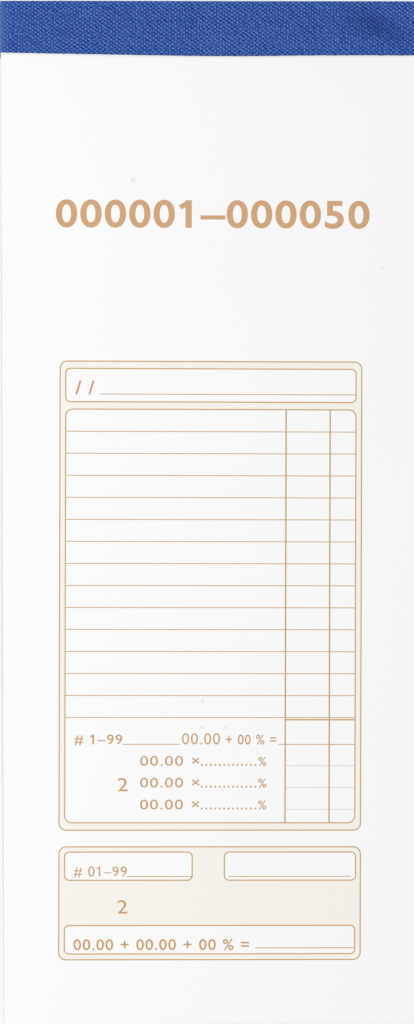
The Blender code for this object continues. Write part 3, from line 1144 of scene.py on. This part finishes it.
def make_block():
    dice = random.Random(DRIFT_SEED)
    shape = bmesh.new()
    stubs = [f"check_{number:02d}_stub" for number in range(1, SPLIT_CHECKS + 1)]
    for node in stubs:
        add_leaf(shape, *tie_rows(node, below=True, above=False))
    leaves = [f"check_{number:02d}" for number in range(SPLIT_CHECKS + 1, CHECK_COUNT + 1)]
    add_leaf(shape, *slit_rows(*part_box(leaves[0]), [COUPON_LINE, TEAR_LINE]))
    block_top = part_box(leaves[0])[1].z
    block_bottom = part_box(leaves[-1])[0].z
    for node in leaves[1:]:
        low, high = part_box(node)
        drift = (dice.uniform(-1, 1) * LEAF_DRIFT, dice.uniform(-1, 0) * LEAF_DRIFT)
        depth = (block_top - high.z) / (block_top - block_bottom)
        add_bowed_leaf(shape, low, high, drift, LEAF_BOW * depth)
    block = place_piece("check_block", shape, CHECK_PAPER)
    number = SPLIT_CHECKS + 1
    printing = make_print(
        f"check_{number:02d}_print",
        block_top - CHECK_PRINT,
        CHECK_PRINT,
        [(draw_check, (number,)), (draw_coupon, (number,))],
    )
    for piece in (block, printing):
        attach(piece, "pad")
    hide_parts(*stubs, *leaves)


for split_check in range(1, SPLIT_CHECKS + 1):
    make_check(split_check)
make_torn_sheet("check_01_coupon", "coupon_1", [(draw_coupon, (1,))], slits=[], below=False)
make_block()


# Backing board and staples
def make_board():
    """The chipboard, with its cut edges a little softened."""
    shape = bmesh.new()
    shape.from_mesh(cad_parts["backing_board"].data)
    bmesh.ops.remove_doubles(shape, verts=shape.verts, dist=BOARD_MERGE)
    bmesh.ops.dissolve_limit(shape, angle_limit=BOARD_FLATNESS, verts=shape.verts, edges=shape.edges)
    low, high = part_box("backing_board")
    sides = ((0, low.x), (0, high.x), (1, low.y))
    rim = [edge for edge in shape.edges if any(lies_on(edge, *side) for side in sides)]
    ease(shape, rim, BOARD_EASE)
    return place_piece("backing_chipboard", shape, CHIPBOARD)


def lies_on(edge, axis, side):
    """Whether both ends of an edge are on one side of a box."""
    return all(abs(vert.co[axis] - side) < ON_RIM for vert in edge.verts)


board = make_board()
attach(board, "pad")
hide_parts("backing_board")

for staple in ("staple_left", "staple_right"):
    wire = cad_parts[staple]
    wire.data.materials.clear()
    wire.data.materials.append(STAPLE_WIRE)


# Floor, light and camera
CAMERA_LENS = 200.0
SENSOR_WIDTH = 36.0
CAMERA_DISTANCE = 1.1685
CAMERA_TO_LEFT = math.radians(2.857)
CAMERA_TO_BINDING = math.radians(0.427)
CAMERA_ROLL = math.radians(0.18)
FLOOR_REACH = 30.0
FLOOR_GAP = 0.01 * MM
ROOM_LIGHT = 0.7
BACKDROP = 1.0
SOFT_BOX_PLACE = (-0.54, 0.0, 0.54)
SOFT_BOX_SIZE = 0.6
SOFT_BOX_POWER = 2.93
FLOOR_GLOW = 0.7
GLOW_STARTS = 0.3
GLOW_WHITE = 1.6


def floor_finish():
    """Pale paint, seen as the white backdrop further off."""
    material, tree, shader = start_material("pale_floor", roughness=0.9, specular=0.1)
    dust = noise(tree, object_place(tree), scale=3.0)
    shown = mix_colours(tree, dust, paint(243, 243, 243), paint(247, 247, 247))
    tree.links.new(shown, shader["Base Color"])
    away = add(tree, "ShaderNodeVectorMath", {}, operation="LENGTH")
    tree.links.new(object_place(tree), away.inputs[0])
    share = fade(tree, away.outputs["Value"], GLOW_STARTS, GLOW_WHITE, FLOOR_GLOW, 1.0)
    path = tree.nodes.new("ShaderNodeLightPath").outputs
    seen = math_node(tree, "MULTIPLY", path["Is Camera Ray"], share)
    glow = add(tree, "ShaderNodeEmission", {"Strength": BACKDROP})
    both = tree.nodes.new("ShaderNodeMixShader")
    tree.links.new(seen, both.inputs[0])
    tree.links.new(tree.nodes["Principled BSDF"].outputs[0], both.inputs[1])
    tree.links.new(glow.outputs[0], both.inputs[2])
    tree.links.new(both.outputs[0], tree.nodes["Material Output"].inputs["Surface"])
    return material


def make_floor():
    """A plain floor that keeps the shadow of the pad."""
    shape = bmesh.new()
    bmesh.ops.create_grid(shape, x_segments=1, y_segments=1, size=FLOOR_REACH)
    bmesh.ops.translate(shape, verts=shape.verts, vec=(0, 0, cad_low.z - FLOOR_GAP))
    place_piece("floor", shape, floor_finish())


def make_lamp(name, place, power, size):
    """A square soft box that faces the pad."""
    lamp = bpy.data.lights.new(name, "AREA")
    lamp.energy = power
    lamp.size = size
    holder = new_object(name, lamp)
    holder.location = place
    holder.visible_camera = False
    holder.rotation_euler = (-Vector(place)).to_track_quat("-Z", "Y").to_euler()


def make_light():
    """Soft studio light: an even pale room, seen as a white backdrop, and one soft box to the left."""
    world = bpy.data.worlds.new("studio")
    world.use_nodes = True
    tree = world.node_tree
    room = tree.nodes["Background"]
    path = tree.nodes.new("ShaderNodeLightPath").outputs
    seen = math_node(tree, "MAXIMUM", path["Is Camera Ray"], path["Is Glossy Ray"])
    seen = math_node(tree, "MAXIMUM", seen, path["Is Transmission Ray"])
    extra = math_node(tree, "MULTIPLY", seen, BACKDROP - ROOM_LIGHT)
    room.inputs["Color"].default_value = (1.0, 1.0, 1.0, 1.0)
    tree.links.new(math_node(tree, "ADD", extra, ROOM_LIGHT), room.inputs["Strength"])
    bpy.context.scene.world = world
    make_lamp("soft_box", SOFT_BOX_PLACE, SOFT_BOX_POWER, SOFT_BOX_SIZE)


def make_camera():
    """A long lens almost straight above the pad, a little to its left."""
    target = Vector((FORM_OFFSET[0] * MM, FORM_OFFSET[1] * MM, cover_high.z + COVER_LIFT))
    back = Vector(
        (
            -math.sin(CAMERA_TO_LEFT) * math.cos(CAMERA_TO_BINDING),
            math.sin(CAMERA_TO_BINDING),
            math.cos(CAMERA_TO_LEFT) * math.cos(CAMERA_TO_BINDING),
        )
    )
    right = Vector((math.cos(CAMERA_ROLL), -math.sin(CAMERA_ROLL), 0))
    up = back.cross(right).normalized()
    right = up.cross(back)
    lens = bpy.data.cameras.new("camera")
    lens.lens = CAMERA_LENS
    lens.sensor_width = SENSOR_WIDTH
    camera = new_object("camera", lens)
    turn = Matrix((right, up, back)).transposed().to_4x4()
    camera.matrix_world = Matrix.Translation(target + back * CAMERA_DISTANCE) @ turn
    bpy.context.scene.camera = camera


make_floor()
make_light()
make_camera()
bpy.context.scene.view_settings.view_transform = "Standard"
